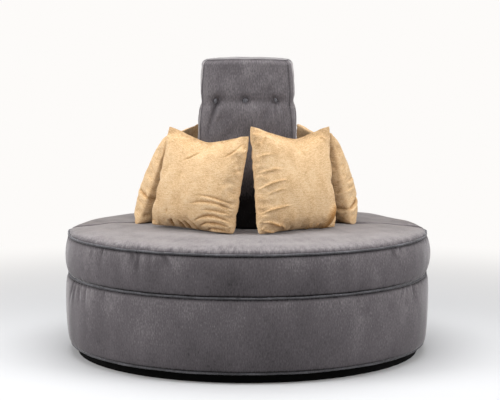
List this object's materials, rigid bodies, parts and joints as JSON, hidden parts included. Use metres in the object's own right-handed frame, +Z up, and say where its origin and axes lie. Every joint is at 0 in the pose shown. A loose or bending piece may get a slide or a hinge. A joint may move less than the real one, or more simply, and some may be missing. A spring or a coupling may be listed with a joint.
{
  "type": "round sofa",
  "caption": "Round seat in two half sections with a padded tapered column plugged into its middle and loose square pillows leaning round it.",
  "frame": {"origin": "on the floor at the centre of the round seat, under the column", "axes": "+Z up, -Y towards the front of the picture, +X to its right; the two sections meet on the X axis"},
  "size_m": [1.5422, 1.5422, 1.2358],
  "materials": {
    "grey_velvet": "cut pile velvet, matt",
    "grey_velvet_welt": "cut pile velvet over cord",
    "tan_cloth": "heavy plain weave, matt",
    "birch_plywood": "bare plywood",
    "black_paint": "black painted plywood, satin",
    "black_lining": "non-woven lining",
    "zinc_plated_steel": "zinc plated",
    "black_nylon": "moulded, matt"
  },
  "bodies": {
    "front_section": {"front_plinth": "black_paint", "front_dust_cover": "black_lining", "front_base_board": "birch_plywood", "front_frame": "birch_plywood", "front_left_rib": "birch_plywood", "front_middle_rib": "birch_plywood", "front_right_rib": "birch_plywood", "front_seat_board": "birch_plywood", "front_seat_cushion": "grey_velvet", "front_lower_band": "grey_velvet", "front_top_welt": "grey_velvet_welt", "front_middle_welt": "grey_velvet_welt", "front_bottom_welt": "grey_velvet_welt", "left_peg": "zinc_plated_steel", "right_peg": "zinc_plated_steel"},
    "back_section": {"back_plinth": "black_paint", "back_dust_cover": "black_lining", "back_base_board": "birch_plywood", "back_frame": "birch_plywood", "back_left_rib": "birch_plywood", "back_middle_rib": "birch_plywood", "back_right_rib": "birch_plywood", "back_seat_board": "birch_plywood", "back_seat_cushion": "grey_velvet", "back_lower_band": "grey_velvet", "back_top_welt": "grey_velvet_welt", "back_middle_welt": "grey_velvet_welt", "back_bottom_welt": "grey_velvet_welt", "left_bush": "black_nylon", "right_bush": "black_nylon"},
    "column": {"column_foot": "birch_plywood", "column_base_board": "birch_plywood", "column_core": "birch_plywood", "column_top_pad": "grey_velvet", "column_front_pad": "grey_velvet", "front_left_button": "grey_velvet", "front_middle_button": "grey_velvet", "front_right_button": "grey_velvet", "column_right_pad": "grey_velvet", "right_left_button": "grey_velvet", "right_middle_button": "grey_velvet", "right_right_button": "grey_velvet", "column_back_pad": "grey_velvet", "back_left_button": "grey_velvet", "back_middle_button": "grey_velvet", "back_right_button": "grey_velvet", "column_left_pad": "grey_velvet", "left_left_button": "grey_velvet", "left_middle_button": "grey_velvet", "left_right_button": "grey_velvet"},
    "front_left_pillow": {"front_left_pillow": "tan_cloth"},
    "front_right_pillow": {"front_right_pillow": "tan_cloth"},
    "left_pillow": {"left_pillow": "tan_cloth"},
    "right_pillow": {"right_pillow": "tan_cloth"},
    "back_pillow": {"back_pillow": "tan_cloth"}
  },
  "joints": [
    {"name": "back_section_draw", "type": "slide", "parent": "front_section", "child": "back_section", "axis": [0, 1, 0], "range_m": [0, 0.3]},
    {"name": "column_lift", "type": "slide", "parent": "front_section", "child": "column", "axis": [0, 0, 1], "range_m": [0, 0.5]},
    {"name": "front_left_pillow_lift", "type": "slide", "parent": "front_section", "child": "front_left_pillow", "axis": [-0.3527, -0.4854, 0.8], "range_m": [0, 0.25]},
    {"name": "front_right_pillow_lift", "type": "slide", "parent": "front_section", "child": "front_right_pillow", "axis": [0.3527, -0.4854, 0.8], "range_m": [0, 0.25]},
    {"name": "left_pillow_lift", "type": "slide", "parent": "front_section", "child": "left_pillow", "axis": [-0.5706, 0.1854, 0.8], "range_m": [0, 0.25]},
    {"name": "right_pillow_lift", "type": "slide", "parent": "front_section", "child": "right_pillow", "axis": [0.5706, 0.1854, 0.8], "range_m": [0, 0.25]},
    {"name": "back_pillow_lift", "type": "slide", "parent": "back_section", "child": "back_pillow", "axis": [0, 0.6, 0.8], "range_m": [0, 0.25]}
  ]
}
